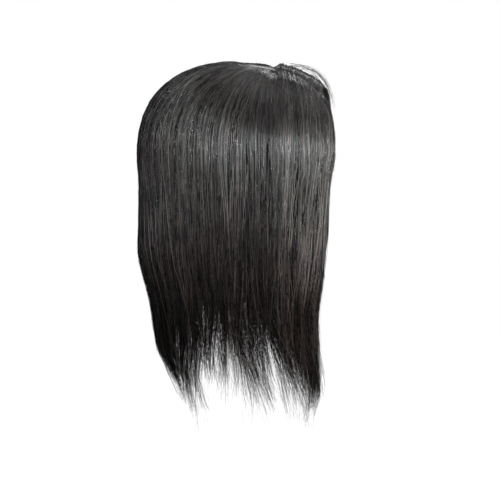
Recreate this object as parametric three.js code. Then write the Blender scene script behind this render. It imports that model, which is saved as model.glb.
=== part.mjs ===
// Toupee hairpiece, in the form that it has when it is worn: a thin base cap, and long straight
// hair in six sections that fall from a side parting and the crown.
// Millimetres, +Z up, the front at -Y, the right-hand side as worn at -X.
// The origin is the highest point of the underside of the cap.
import * as THREE from 'three';
import { mergeVertices } from 'three/addons/utils/BufferGeometryUtils.js';

// Driving dimensions of the base cap
const SEAT_HALF_WIDTH = 75;
const SEAT_HALF_LENGTH = 99;
const SEAT_DEPTH = 92;
const ROUNDNESS = 2.4;
const CAP_WALL = 1.2;
const FRONT_RIM_DEPTH = 29;
const SIDE_RIM_DEPTH = 50;
const BACK_RIM_DEPTH = 90;

// Driving dimensions of the hair: how far it stands off the seat, and how far it falls below the
// widest level
const HAIR_SIDE_BODY = 13;
const HAIR_FRONT_BODY = 6.5;
const HAIR_BACK_BODY = 11;
const HAIR_TOP_BODY = 7;
const HAIR_FALL = 268;
const FRONT_LIFT = 15;
const ROOT_HEIGHT = 2.4;

// Narrowing of the falling hair towards the neck: the share of the half width that is lost, and
// the share of the fall over which it sets in
const NARROWING = 0.235;
const NARROWING_START = 0.1;

// Relief of the locks
const VALLEY_DEPTH = 1.8;
const VALLEY_SHARE = 0.22;
const PROUD_LOCK = 1.3;
const BORDER_SCATTER = 0.22;

// Free ends of the locks
const FINGER_EDGE = 1.1;
const TIP_WIDTH_SHARE = 0.1;
const TIP_THICKNESS_SHARE = 0.22;
const TAPER_POWER = 0.8;
const DRIFT_SHARE = 0.7;
const NARROWED_BY = 0.35;

// Driving dimensions of the parting and the crown
const PARTING_OFFSET = 28;
const PARTING_SETBACK = 17;
const PARTING_LENGTH = 47;
const PARTING_HALF_GAP = 1.5;
const CROWN_RADIUS = 5;
const CROWN_BLEND = 20;
const RIGHT_GROOVE_REACH = 26;
const LEFT_GROOVE_REACH = 15;

// Clearances
const CAP_CLEARANCE = 0.8;
const SECTION_GAP = 0.3;

// Worked out from the sizes above
const HAIR_HALF_WIDTH = SEAT_HALF_WIDTH + HAIR_SIDE_BODY;
const HAIR_FRONT_REACH = SEAT_HALF_LENGTH + HAIR_FRONT_BODY;
const HAIR_BACK_REACH = SEAT_HALF_LENGTH + HAIR_BACK_BODY;
const HAIR_DEPTH = SEAT_DEPTH + HAIR_TOP_BODY;
const HAIR_SEAT_OFFSET = CAP_WALL + CAP_CLEARANCE;
const PARTING_FRONT = SEAT_HALF_LENGTH - PARTING_SETBACK;
const ROOT_LINE = PARTING_LENGTH + CROWN_RADIUS * Math.PI / 2;

// Colours
const HAIR_SHADE = 0x2b2625;
const BASE_SHADE = 0xb08a72;

// Mesh fineness
const CAP_STEPS_AROUND = 26;
const CAP_STEPS_DOWN = 6;
const FLOW_SAMPLES = 24;
const DOME_ROWS = 10;
const FALL_ROWS = 5;
const FINGER_ROWS = 4;

// Sections of hair: side (-1 the right, 1 the left), the angles round the cap from the front in
// degrees, the shares of the root line, and the number of locks.
const SECTIONS = [
  { name: 'right_front_hair', side: -1, from: 26.5, to: 62, rootFrom: 0, rootTo: 0.857, locks: 9 },
  { name: 'right_side_hair', side: -1, from: 62, to: 114, rootFrom: 0.857, rootTo: 0.93, locks: 11 },
  { name: 'right_back_hair', side: -1, from: 114, to: 180, rootFrom: 0.93, rootTo: 1, locks: 12 },
  { name: 'left_front_hair', side: 1, from: 26.5, to: 70, rootFrom: 0, rootTo: 0.857, locks: 9 },
  { name: 'left_side_hair', side: 1, from: 70, to: 114, rootFrom: 0.857, rootTo: 0.92, locks: 9 },
  { name: 'left_back_hair', side: 1, from: 114, to: 180, rootFrom: 0.92, rootTo: 1, locks: 12 },
];

// Outline of the falling hair: share of the fall, then shares of the reach to the front and of
// the reach to the back, and the share of the thickness that is left.
const FALL_TABLE = [
  { fall: 0, front: 1, back: 1, thickness: 1 },
  { fall: 0.1, front: 0.94, back: 0.98, thickness: 0.95 },
  { fall: 0.25, front: 0.915, back: 0.984, thickness: 0.82 },
  { fall: 0.365, front: 0.9, back: 0.995, thickness: 0.74 },
  { fall: 0.46, front: 0.87, back: 0.945, thickness: 0.68 },
  { fall: 0.535, front: 0.825, back: 0.875, thickness: 0.65 },
  { fall: 0.62, front: 0.78, back: 0.85, thickness: 0.62 },
  { fall: 0.74, front: 0.8, back: 0.82, thickness: 0.58 },
  { fall: 0.85, front: 0.84, back: 0.69, thickness: 0.52 },
  { fall: 0.915, front: 0.83, back: 0.6, thickness: 0.46 },
  { fall: 1, front: 0.74, back: 0.52, thickness: 0.4 },
];

// Lower ends of the locks: angle round the cap, the shares of the fall where the locks part and
// where they end, how full the parted locks stay, and how far the tips sweep to the front as a
// share of the fall.
const FRINGE_TABLE = [
  { angle: 26, split: 0.78, tip: 0.95, fullness: 0.9, sweep: 0.015 },
  { angle: 42, split: 0.79, tip: 0.97, fullness: 0.95, sweep: 0.03 },
  { angle: 58, split: 0.73, tip: 0.94, fullness: 0.85, sweep: 0.052 },
  { angle: 70, split: 0.62, tip: 0.93, fullness: 0.5, sweep: 0.075 },
  { angle: 88, split: 0.51, tip: 0.92, fullness: 0.42, sweep: 0.008 },
  { angle: 104, split: 0.6, tip: 0.9, fullness: 0.5, sweep: 0.037 },
  { angle: 118, split: 0.74, tip: 0.93, fullness: 0.9, sweep: 0.067 },
  { angle: 140, split: 0.79, tip: 0.96, fullness: 0.95, sweep: 0.06 },
  { angle: 160, split: 0.74, tip: 0.9, fullness: 0.95, sweep: 0.03 },
  { angle: 180, split: 0.67, tip: 0.82, fullness: 0.9, sweep: 0 },
];
const TIP_SCATTER = 0.06;
const SPLIT_SCATTER = 0.05;
const SWEEP_FROM = 0.4;
const SWEEP_POWER = 1.5;
const WAVE_FROM = 0.25;
const WAVE_HEIGHT = 3.5;
const WAVE_LENGTH_SHARE = 0.45;
const WAVE_TURNS_AROUND = 2;
const CALM_BACK_DEGREES = 20;

// Lift of the hair over the front of the cap: share of the reach to the front, share of the lift.
const LIFT_TABLE = [
  { reach: 0, lift: 0 },
  { reach: 0.24, lift: -0.02 },
  { reach: 0.3, lift: -0.16 },
  { reach: 0.39, lift: 0.34 },
  { reach: 0.6, lift: 0.42 },
  { reach: 0.78, lift: 0.7 },
  { reach: 1, lift: 1.1 },
];
const LIFT_FADE_POWER = 0.8;

const seatCentre = new THREE.Vector3(0, 0, -SEAT_DEPTH);
const { clamp, degToRad, lerp, radToDeg, smoothstep } = THREE.MathUtils;

// A repeatable scatter between -1 and 1 for the whole number n.
function scatter(n) {
  const wave = Math.sin(n * 127.1 + 11.7) * 43758.5453;
  return 2 * (wave - Math.floor(wave)) - 1;
}

// Smooth reading of one column of a table whose rows rise in the key column.
function readTable(table, key, column, at) {
  let row = 0;
  while (row < table.length - 2 && at > table[row + 1][key]) {
    row += 1;
  }
  const low = table[row];
  const high = table[row + 1];
  const share = clamp((at - low[key]) / (high[key] - low[key]), 0, 1);
  return lerp(low[column], high[column], share * share * (3 - 2 * share));
}

// Distance of a point from the middle of a rounded form, in units of that form's own surface.
function formDistance(point, halfWidth, halfLength, height) {
  const sum = Math.abs(point.x / halfWidth) ** ROUNDNESS
    + Math.abs(point.y / halfLength) ** ROUNDNESS
    + Math.abs(point.z / height) ** ROUNDNESS;
  return sum ** (1 / ROUNDNESS);
}

// The point where the ray from the seat's middle meets the seat grown by an offset.
function onSeat(direction, offset) {
  const scale = formDistance(
    direction,
    SEAT_HALF_WIDTH + offset,
    SEAT_HALF_LENGTH + offset,
    SEAT_DEPTH + offset,
  );
  return direction.clone().divideScalar(scale).add(seatCentre);
}

// Height of a rounded dome over a point of the plan, zero at the dome's edge.
function domeHeight(x, y, halfWidth, halfLength, height) {
  const left = 1 - Math.abs(x / halfWidth) ** ROUNDNESS - Math.abs(y / halfLength) ** ROUNDNESS;
  return height * Math.max(left, 0) ** (1 / ROUNDNESS);
}

// Radius in plan of the outline at an angle from the front.
function planRadius(angle, halfWidth, halfLength) {
  const sum = Math.abs(Math.sin(angle) / halfWidth) ** ROUNDNESS
    + Math.abs(Math.cos(angle) / halfLength) ** ROUNDNESS;
  return sum ** (-1 / ROUNDNESS);
}

// Thickness of the hair at the widest level, where it lies over the side of the cap.
function thicknessAtSeat(angle) {
  const reach = Math.cos(angle) > 0 ? HAIR_FRONT_REACH : HAIR_BACK_REACH;
  const halfWidth = SEAT_HALF_WIDTH + HAIR_SEAT_OFFSET;
  const halfLength = SEAT_HALF_LENGTH + HAIR_SEAT_OFFSET;
  return planRadius(angle, HAIR_HALF_WIDTH, reach) - planRadius(angle, halfWidth, halfLength);
}

// A point of the root line on one side: along the parting, then round the crown.
function rootPoint(side, share) {
  const along = share * ROOT_LINE;
  const turn = Math.max(along - PARTING_LENGTH, 0) / CROWN_RADIUS;
  const grow = smoothstep(along, PARTING_LENGTH - CROWN_BLEND, PARTING_LENGTH);
  const offset = lerp(PARTING_HALF_GAP, CROWN_RADIUS, grow);
  return new THREE.Vector2(
    -PARTING_OFFSET + side * offset * Math.cos(turn),
    -PARTING_FRONT + Math.min(along, PARTING_LENGTH) + offset * Math.sin(turn),
  );
}

// Height of the outside of the hair over a point of the plan, above the cap.
function topHeight(side, x, y) {
  const reach = y < 0 ? HAIR_FRONT_REACH : HAIR_BACK_REACH;
  const dome = domeHeight(x, y, HAIR_HALF_WIDTH, reach, HAIR_DEPTH);
  const lift = FRONT_LIFT * readTable(LIFT_TABLE, 'reach', 'lift', -y / HAIR_FRONT_REACH);
  const full = dome + lift * (dome / HAIR_DEPTH) ** LIFT_FADE_POWER;
  const nearest = clamp(y, -PARTING_FRONT, PARTING_LENGTH - PARTING_FRONT);
  const distance = Math.hypot(x + PARTING_OFFSET, y - nearest);
  const grooveReach = side < 0 ? RIGHT_GROOVE_REACH : LEFT_GROOVE_REACH;
  const cap = domeHeight(
    x,
    y,
    SEAT_HALF_WIDTH + CAP_WALL,
    SEAT_HALF_LENGTH + CAP_WALL,
    SEAT_DEPTH + CAP_WALL,
  );
  return lerp(cap + ROOT_HEIGHT, full, smoothstep(distance, 0, grooveReach)) - SEAT_DEPTH;
}

// The path over the cap of one column of hair, from its root to the widest level.
function domeRows(side, angle, rootShare) {
  const root = rootPoint(side, rootShare);
  const reach = Math.cos(angle) > 0 ? HAIR_FRONT_REACH : HAIR_BACK_REACH;
  const radius = planRadius(angle, HAIR_HALF_WIDTH, reach);
  const end = new THREE.Vector2(side * radius * Math.sin(angle), -radius * Math.cos(angle));
  const samples = [];
  for (let i = 0; i <= FLOW_SAMPLES; i += 1) {
    const share = Math.sin(Math.PI / 2 * i / FLOW_SAMPLES) ** (2 / ROUNDNESS);
    const plan = root.clone().lerp(end, share);
    samples.push(new THREE.Vector3(plan.x, plan.y, topHeight(side, plan.x, plan.y)));
  }
  return new THREE.CatmullRomCurve3(samples).getSpacedPoints(DOME_ROWS);
}

// A point on the outside of the falling hair, below the widest level.
function fallPoint(side, angle, fall) {
  const degrees = radToDeg(angle);
  const width = HAIR_HALF_WIDTH * (1 - NARROWING * fall * fall / (fall + NARROWING_START));
  const front = HAIR_FRONT_REACH * readTable(FALL_TABLE, 'fall', 'front', fall);
  const back = HAIR_BACK_REACH * readTable(FALL_TABLE, 'fall', 'back', fall);
  const sweepShare = Math.max(fall - SWEEP_FROM, 0) / (1 - SWEEP_FROM);
  const tipSweep = HAIR_FALL * readTable(FRINGE_TABLE, 'angle', 'sweep', degrees);
  const sweep = tipSweep * sweepShare ** SWEEP_POWER;
  const strength = smoothstep(fall, WAVE_FROM, 1) * smoothstep(180 - degrees, 0, CALM_BACK_DEGREES);
  const turns = fall / WAVE_LENGTH_SHARE + WAVE_TURNS_AROUND * angle;
  const wave = WAVE_HEIGHT * strength * Math.sin(2 * Math.PI * turns);
  const swept = angle - (sweep + wave) / HAIR_HALF_WIDTH;
  const radius = planRadius(swept, width, Math.cos(swept) > 0 ? front : back);
  return new THREE.Vector3(
    side * radius * Math.sin(swept),
    -radius * Math.cos(swept),
    -SEAT_DEPTH - HAIR_FALL * fall,
  );
}

// Moves a point of the falling hair towards the middle of the hollow.
function moveIn(point, depth) {
  const radius = Math.hypot(point.x, point.y);
  const share = (radius - depth) / radius;
  return new THREE.Vector3(point.x * share, point.y * share, point.z);
}

// One column of a section, from its root to the level where its locks part: the outside points
// and the inside points, which lie over the cap or behind the falling hair.
function sectionColumn(section, angle, rootShare, splitShift, valley, proud) {
  const split = readTable(FRINGE_TABLE, 'angle', 'split', radToDeg(angle)) + splitShift;
  const column = { outside: [], inside: [], split };
  for (const top of domeRows(section.side, angle, rootShare)) {
    const direction = top.clone().sub(seatCentre);
    const inside = onSeat(direction, HAIR_SEAT_OFFSET);
    const thickness = top.distanceTo(inside);
    const depth = Math.min(VALLEY_DEPTH, VALLEY_SHARE * thickness) * valley;
    const raise = PROUD_LOCK * proud * Math.min(1, thickness / thicknessAtSeat(angle));
    const scale = 1 + (raise - depth) / direction.length();
    column.outside.push(direction.multiplyScalar(scale).add(seatCentre));
    column.inside.push(inside);
  }
  for (let row = 1; row <= FALL_ROWS; row += 1) {
    const fall = split * row / FALL_ROWS;
    const thickness = thicknessAtSeat(angle) * readTable(FALL_TABLE, 'fall', 'thickness', fall);
    const point = fallPoint(section.side, angle, fall);
    const depth = Math.min(VALLEY_DEPTH, VALLEY_SHARE * thickness) * valley;
    column.outside.push(moveIn(point, depth - PROUD_LOCK * proud));
    column.inside.push(moveIn(point, thickness));
  }
  return column;
}

// One point of the free end of a lock, where across runs from -1 to 1 and progress from 0 to 1.
function fingerPoint(section, lock, across, progress, outside) {
  const tipShare = 1 - progress;
  const taper = TIP_WIDTH_SHARE + (1 - TIP_WIDTH_SHARE) * tipShare ** TAPER_POWER;
  const narrow = taper * lerp(1, lock.fullness, smoothstep(progress, 0, NARROWED_BY));
  const drift = DRIFT_SHARE * lock.drift * (1 - narrow);
  const angle = lock.middle + lock.halfAngle * (drift + across * narrow);
  const fall = lerp(lock.split, lock.tip, progress);
  const point = fallPoint(section.side, angle, fall);
  const full = thicknessAtSeat(lock.middle) * readTable(FALL_TABLE, 'fall', 'thickness', fall);
  const thickness = full * lerp(TIP_THICKNESS_SHARE, 1, tipShare);
  const edge = Math.min(FINGER_EDGE, thickness);
  const own = across === 0 ? thickness : edge;
  const middleDepth = full / 2 - PROUD_LOCK * lock.proud * tipShare;
  return moveIn(point, middleDepth + (outside ? -own / 2 : own / 2));
}

// One tapered lock: its outside and inside points, row by row, in three columns.
function lockGrid(section, lock, columns) {
  const fusedRows = columns[0].outside.length;
  const grid = { outside: [], inside: [] };
  for (let row = 0; row < fusedRows + FINGER_ROWS; row += 1) {
    const progress = (row - fusedRows + 1) / FINGER_ROWS;
    for (const layer of ['outside', 'inside']) {
      const points = columns.map((column, i) => (row < fusedRows
        ? column[layer][row]
        : fingerPoint(section, lock, i - 1, progress, layer === 'outside')));
      grid[layer].push(points);
    }
  }
  return grid;
}

// Adds the faces of one lock: both skins, its two ends and the side walls where it lies free.
function addLockFaces(corners, grid, side, fusedRows, firstLock, lastLock) {
  const addQuad = (a, b, c, d) => {
    corners.push(...(side > 0 ? [a, b, c, a, c, d] : [a, c, b, a, d, c]));
  };
  const { outside, inside } = grid;
  const end = outside.length - 1;
  for (let row = 0; row < end; row += 1) {
    for (const i of [0, 1]) {
      addQuad(outside[row][i], outside[row + 1][i], outside[row + 1][i + 1], outside[row][i + 1]);
      addQuad(inside[row][i], inside[row][i + 1], inside[row + 1][i + 1], inside[row + 1][i]);
    }
    const free = row >= fusedRows - 1;
    if (free || firstLock) {
      addQuad(outside[row][0], inside[row][0], inside[row + 1][0], outside[row + 1][0]);
    }
    if (free || lastLock) {
      addQuad(outside[row][2], outside[row + 1][2], inside[row + 1][2], inside[row][2]);
    }
  }
  for (const i of [0, 1]) {
    addQuad(outside[0][i], outside[0][i + 1], inside[0][i + 1], inside[0][i]);
    addQuad(outside[end][i], inside[end][i], inside[end][i + 1], outside[end][i + 1]);
  }
}

// A closed mesh with its vertices shared.
function closedGeometry(geometry) {
  geometry.deleteAttribute('normal');
  geometry.deleteAttribute('uv');
  const merged = mergeVertices(geometry, 1e-4);
  merged.computeVertexNormals();
  return merged;
}

// Where the border below lock k lies, as a share of its section.
function borderShare(section, number, k) {
  const free = k > 0 && k < section.locks;
  const shift = free ? BORDER_SCATTER * scatter(31 * number + k) : 0;
  return (k + shift) / section.locks;
}

// One section of hair: its locks, side by side in one closed skin. Its borders stand half the
// section gap inside its angles and its share of the root line.
function hairSection(section, number) {
  const angleInset = SECTION_GAP / 2 / SEAT_HALF_WIDTH;
  const rootInset = SECTION_GAP / 2 / ROOT_LINE;
  const angleFrom = degToRad(section.from) + angleInset;
  const angleTo = degToRad(section.to) - angleInset;
  const rootFrom = section.rootFrom + rootInset;
  const rootTo = section.rootTo - rootInset;
  const columnAt = (share, splitShift, valley, proud) => sectionColumn(
    section,
    lerp(angleFrom, angleTo, share),
    lerp(rootFrom, rootTo, share),
    splitShift,
    valley,
    proud,
  );
  const corners = [];
  let before = columnAt(0, 0, 1, 0);
  for (let k = 0; k < section.locks; k += 1) {
    const seed = 97 * number + 7 * k;
    const low = borderShare(section, number, k);
    const high = borderShare(section, number, k + 1);
    const last = k === section.locks - 1;
    const proud = (1 + scatter(seed + 1)) / 2;
    const middle = columnAt((low + high) / 2, 0, 0, proud);
    const after = columnAt(high, last ? 0 : SPLIT_SCATTER * scatter(seed + 2), 1, 0);
    const angle = lerp(angleFrom, angleTo, (low + high) / 2);
    const lock = {
      middle: angle,
      halfAngle: (angleTo - angleFrom) * (high - low) / 2,
      split: middle.split,
      tip: readTable(FRINGE_TABLE, 'angle', 'tip', radToDeg(angle)) + TIP_SCATTER * scatter(seed + 3),
      fullness: readTable(FRINGE_TABLE, 'angle', 'fullness', radToDeg(angle)),
      drift: scatter(seed + 4),
      proud,
    };
    const grid = lockGrid(section, lock, [before, middle, after]);
    addLockFaces(corners, grid, section.side, before.outside.length, k === 0, last);
    before = after;
  }
  return closedGeometry(new THREE.BufferGeometry().setFromPoints(corners));
}

// Depth of the cap's rim below the crown at an angle from the front.
function rimDepth(angle) {
  const forward = Math.cos(angle);
  const end = forward > 0 ? FRONT_RIM_DEPTH : BACK_RIM_DEPTH;
  return lerp(SIDE_RIM_DEPTH, end, forward * forward);
}

// The base cap: an open dome of one wall, turned as a closed profile and fitted to the seat.
function capGeometry() {
  const innerShare = 0.5;
  const profile = [];
  for (let i = 0; i <= CAP_STEPS_DOWN; i += 1) {
    const turn = Math.PI / 2 * i / CAP_STEPS_DOWN;
    profile.push(new THREE.Vector2(Math.sin(turn), Math.cos(turn)));
  }
  for (let i = CAP_STEPS_DOWN; i >= 0; i -= 1) {
    const turn = Math.PI / 2 * i / CAP_STEPS_DOWN;
    profile.push(new THREE.Vector2(innerShare * Math.sin(turn), innerShare * Math.cos(turn)));
  }
  const geometry = new THREE.LatheGeometry(profile.reverse(), CAP_STEPS_AROUND);
  const place = geometry.attributes.position;
  const point = new THREE.Vector3();
  for (let i = 0; i < place.count; i += 1) {
    point.fromBufferAttribute(place, i);
    const outside = point.length() > (1 + innerShare) / 2;
    const offset = outside ? CAP_WALL : 0;
    const around = Math.atan2(point.x, point.z);
    const down = Math.atan2(Math.hypot(point.x, point.z), point.y) / (Math.PI / 2);
    const rim = onSeatRim(around, offset);
    const polar = down * Math.acos(rim.z / rim.length());
    const plan = Math.hypot(rim.x, rim.y);
    const direction = new THREE.Vector3(
      rim.x / plan * Math.sin(polar),
      rim.y / plan * Math.sin(polar),
      Math.cos(polar),
    );
    const placed = onSeat(direction, offset);
    place.setXYZ(i, placed.x, placed.y, placed.z);
  }
  return closedGeometry(geometry);
}

// Direction from the seat's middle to the cap's rim at an angle from the front.
function onSeatRim(angle, offset) {
  const height = SEAT_DEPTH - rimDepth(angle);
  const left = 1 - Math.abs(height / (SEAT_DEPTH + offset)) ** ROUNDNESS;
  const radius = planRadius(angle, SEAT_HALF_WIDTH + offset, SEAT_HALF_LENGTH + offset)
    * left ** (1 / ROUNDNESS);
  return new THREE.Vector3(radius * Math.sin(angle), -radius * Math.cos(angle), height);
}

function hairMaterial() {
  return new THREE.MeshStandardMaterial({ color: HAIR_SHADE, roughness: 0.45, metalness: 0 });
}

function baseMaterial() {
  return new THREE.MeshStandardMaterial({ color: BASE_SHADE, roughness: 0.7, metalness: 0 });
}

const hairpiece = new THREE.Group();
const cap = new THREE.Mesh(capGeometry(), baseMaterial());
cap.name = 'base_cap';
hairpiece.add(cap);
SECTIONS.forEach((section, number) => {
  const hair = new THREE.Mesh(hairSection(section, number), hairMaterial());
  hair.name = section.name;
  hairpiece.add(hair);
});

export default hairpiece;
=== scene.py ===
import math
from collections import namedtuple
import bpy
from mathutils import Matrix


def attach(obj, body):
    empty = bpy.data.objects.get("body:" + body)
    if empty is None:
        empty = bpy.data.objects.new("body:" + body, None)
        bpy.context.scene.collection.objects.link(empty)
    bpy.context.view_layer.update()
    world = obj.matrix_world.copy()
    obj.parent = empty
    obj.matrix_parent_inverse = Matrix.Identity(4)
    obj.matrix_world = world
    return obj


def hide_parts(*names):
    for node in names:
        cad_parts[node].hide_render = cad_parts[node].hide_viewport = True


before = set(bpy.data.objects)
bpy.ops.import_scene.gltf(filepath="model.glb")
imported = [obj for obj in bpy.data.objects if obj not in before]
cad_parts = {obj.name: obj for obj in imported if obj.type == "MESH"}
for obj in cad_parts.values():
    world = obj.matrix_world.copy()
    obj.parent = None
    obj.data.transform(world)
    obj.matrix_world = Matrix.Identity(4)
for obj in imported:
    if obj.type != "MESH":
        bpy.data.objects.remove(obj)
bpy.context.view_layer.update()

from types import SimpleNamespace

import bpy
import numpy as np
from mathutils import Matrix, Vector

# The flow of the hair repeats the named sizes and tables of the solids, in millimetres.
MM = 0.001
SEAT_HALF_WIDTH = 75.0
SEAT_HALF_LENGTH = 99.0
SEAT_DEPTH = 92.0
ROUNDNESS = 2.4
CAP_WALL = 1.2
CAP_CLEARANCE = 0.8
HAIR_FALL = 268.0
FRONT_LIFT = 15.0
ROOT_HEIGHT = 2.4
HAIR_HALF_WIDTH = SEAT_HALF_WIDTH + 13.0
HAIR_FRONT_REACH = SEAT_HALF_LENGTH + 6.5
HAIR_BACK_REACH = SEAT_HALF_LENGTH + 11.0
HAIR_DEPTH = SEAT_DEPTH + 7.0
HAIR_SEAT_OFFSET = CAP_WALL + CAP_CLEARANCE

PARTING_OFFSET = 28.0
PARTING_FRONT = SEAT_HALF_LENGTH - 17.0
PARTING_LENGTH = 47.0
PARTING_HALF_GAP = 1.5
CROWN_RADIUS = 5.0
CROWN_BLEND = 20.0
RIGHT_GROOVE_REACH = 26.0
LEFT_GROOVE_REACH = 15.0
ROOT_LINE = PARTING_LENGTH + CROWN_RADIUS * math.pi / 2

VALLEY_DEPTH = 1.8
PROUD_LOCK = 1.3
BORDER_SCATTER = 0.22
TIP_WIDTH_SHARE = 0.1
TIP_THICKNESS_SHARE = 0.22
TAPER_POWER = 0.8
DRIFT_SHARE = 0.7
NARROWED_BY = 0.35
TIP_SCATTER = 0.06
SWEEP_FROM = 0.4
SWEEP_POWER = 1.5
WAVE_FROM = 0.25
WAVE_HEIGHT = 3.5
WAVE_LENGTH_SHARE = 0.45
WAVE_TURNS_AROUND = 2
CALM_BACK_DEGREES = 20.0
LIFT_FADE_POWER = 0.8

# Name, side, first and last angle, first and last share of the root line, number of locks
Section = namedtuple("Section", "name side start stop root_from root_to lock_count")
SECTIONS = [
    Section("right_front_hair", -1, 26.5, 62.0, 0.0, 0.857, 9),
    Section("right_side_hair", -1, 62.0, 114.0, 0.857, 0.93, 11),
    Section("right_back_hair", -1, 114.0, 180.0, 0.93, 1.0, 12),
    Section("left_front_hair", 1, 26.5, 70.0, 0.0, 0.857, 9),
    Section("left_side_hair", 1, 70.0, 114.0, 0.857, 0.92, 9),
    Section("left_back_hair", 1, 114.0, 180.0, 0.92, 1.0, 12),
]

# Share of the fall, then the shares of front reach, back reach and thickness
FALL_TABLE = np.array([
    (0.0, 1.0, 1.0, 1.0),
    (0.1, 0.94, 0.98, 0.95),
    (0.25, 0.915, 0.984, 0.82),
    (0.365, 0.9, 0.995, 0.74),
    (0.46, 0.87, 0.945, 0.68),
    (0.535, 0.825, 0.875, 0.65),
    (0.62, 0.78, 0.85, 0.62),
    (0.74, 0.8, 0.82, 0.58),
    (0.85, 0.84, 0.69, 0.52),
    (0.915, 0.83, 0.6, 0.46),
    (1.0, 0.74, 0.52, 0.4),
])
FRONT, BACK, THICKNESS = 1, 2, 3
NARROWING = 0.235
NARROWING_START = 0.1

# Angle, then where the locks part, where they end, how full they stay, how far they sweep to
# the front, how far up the shorter strands end, and the curl of the tips in millimetres
FRINGE_TABLE = np.array([
    (26.0, 0.78, 0.95, 0.9, 0.015, 0.3, 10.0),
    (42.0, 0.79, 0.97, 0.95, 0.03, 0.3, 13.0),
    (58.0, 0.73, 0.94, 0.85, 0.052, 0.36, 16.0),
    (70.0, 0.62, 0.93, 0.5, 0.075, 0.62, 22.0),
    (88.0, 0.51, 0.92, 0.42, 0.008, 0.68, 20.0),
    (104.0, 0.6, 0.9, 0.5, 0.037, 0.58, 4.0),
    (118.0, 0.74, 0.93, 0.9, 0.067, 0.36, -12.0),
    (140.0, 0.79, 0.96, 0.95, 0.06, 0.3, -15.0),
    (160.0, 0.74, 0.9, 0.95, 0.03, 0.3, -8.0),
    (180.0, 0.67, 0.82, 0.9, 0.0, 0.3, 0.0),
])
SPLIT, TIP, FULLNESS, SWEEP, SHORTER, CURL = 1, 2, 3, 4, 5, 6

# Share of the reach to the front, share of the lift of the hair there
LIFT_TABLE = np.array([
    (0.0, 0.0),
    (0.24, -0.02),
    (0.3, -0.16),
    (0.39, 0.34),
    (0.6, 0.42),
    (0.78, 0.7),
    (1.0, 1.1),
])

# Angle, then how many strands are grey and how light the others are, as shares of the usual. The
# lightness is painted light and shade: lighter at the front and darker towards the back, where the
# hair turns from the light. The fewer grey strands at the back partly paint it darker too.
SHADE_TABLE = np.array([
    (26.0, 1.5, 1.25),
    (40.0, 1.3, 1.15),
    (54.0, 1.0, 1.0),
    (84.0, 0.85, 0.9),
    (106.0, 1.35, 1.0),
    (120.0, 1.3, 1.0),
    (134.0, 1.0, 0.9),
    (150.0, 0.8, 0.7),
    (180.0, 0.7, 0.6),
])
# The second column is painted shade by the side of the hair, not a change of its colour
GREYNESS, PAINTED_SIDE_SHADE = 1, 2

# Angle, then how far single strands hang below the locks, as a share of the fall
THIN_TIPS_TABLE = np.array([
    (26.0, 0.0),
    (62.0, 0.0),
    (74.0, 0.065),
    (100.0, 0.065),
    (112.0, 0.0),
    (180.0, 0.0),
])

# Numbers of strands, and of the points along one
OUTER_STRANDS = 1370
INNER_STRANDS = 450
UNDER_LOCKS = 60
UNDER_LOCKS_BEHIND = 80
STRAYS_IN_SECTION = 60
CREST_STRAYS = 16
HAIRLINE_STRANDS = 90
OUTER_POINTS = 16
INNER_POINTS = 10
UNDER_POINTS = 14
DOME_SAMPLES = 22
FALL_SAMPLES = 26
DOME_STEPS = np.arange(DOME_SAMPLES) / (DOME_SAMPLES - 1)
FALL_STEPS = np.arange(1, FALL_SAMPLES + 1) / FALL_SAMPLES

# First number of each family of random draws
BUNDLE_SEED = 50
DEPTH_SEED = 100
OUTER_SEED = 200
INNER_SEED = 300
UNDER_SEED = 400
STRAY_SEED = 600
CREST_SEED = 700
HAIRLINE_SEED = 800
CLUMP_SEED = 900

# Thickness of a strand in millimetres, with shares of it at the root, at the tip and for grey ones
STRAND_RADIUS = 0.2
RADIUS_RANGE = (0.85, 1.2)
ROOT_RADIUS_SHARE = 0.7
TIP_RADIUS_SHARE = 0.3
GREY_RADIUS_SHARE = 1.15
STRAY_RADIUS_SHARE = 0.95

# The shade map: cells from black to light grey across it, the length of the strands along it
SHADE_CELLS = 48
# The first cells hold the darkest colour, painted shade for the under locks deep in the hair
PAINTED_SHADE_CELLS = 4
GREY_CELL = 36
CELL_MARGIN = 0.1
CELL_USED = 0.8
PATH_LENGTH = 440.0
MAP_END = 0.995
CAP_IN_CELL = 0.3
CAP_ALONG = 0.004
GREY_SHARE = 0.15
INNER_GREYNESS = 0.7
STRAY_GREY_SHARE = 0.6
BUNDLE_SHADE_SHARE = 0.65
BUNDLE_SHADE_SCATTER = 0.06
BUNDLE_GREYNESS = (0.2, 2.0)

# Roots: scatter along the root line, and how close they gather at the crown
ROOT_SCATTER = 0.03
CROWN_GATHERING = (0.05, 1.0)
SETTLE_STEPS = 0.16
THIN_HAIR = 9.0

# Clumps: what each one has for itself, as ranges, or as spreads about nought
CLUMP_JITTER = 0.5
CLUMP_RELIEF = 0.7
CLUMP_WAVE_LENGTH = (0.28, 0.55)
CLUMP_WAVE_HEIGHT = (0.3, 1.0)
CLUMP_TIP = (-0.09, 0.025)
CLUMP_CURL = 6.0
CLUMP_SWELL_TURNS = (1.8, 3.4)
CLUMP_GLOSS_TURNS = (2.4, 4.4)

# Single strands: turns of their waves over the fall, and the share that is longer
DIVE_TURNS = (0.5, 1.3)
DIVE_TURNS_BELOW = 1.6
OWN_GLOSS_TURNS = (3.0, 5.5)
OWN_GLOSS_SHARE = 0.5
OWN_TURNS = (0.4, 2.0)
RIPPLE_TURNS = (2.0, 4.0)
OUT_TURNS = (1.5, 2.8)
OWN_CURL = 3.0
CURL_FROM = 0.62
SHORTEST_TIP = 0.3
LONGER_SHARE = 0.12
SPLIT_EARLIER = 0.04

# Under locks: half width by their spacing, half thickness, and where they begin to taper
UNDER_OVERLAP = 1.25
UNDER_OVERLAP_BEHIND = 2.2
UNDER_THICKNESS = 0.5
UNDER_TAPER_FROM = 0.55
UNDER_TAPER_FROM_BEHIND = 0.76
UNDER_TIP_WIDTH = 0.06

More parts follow.
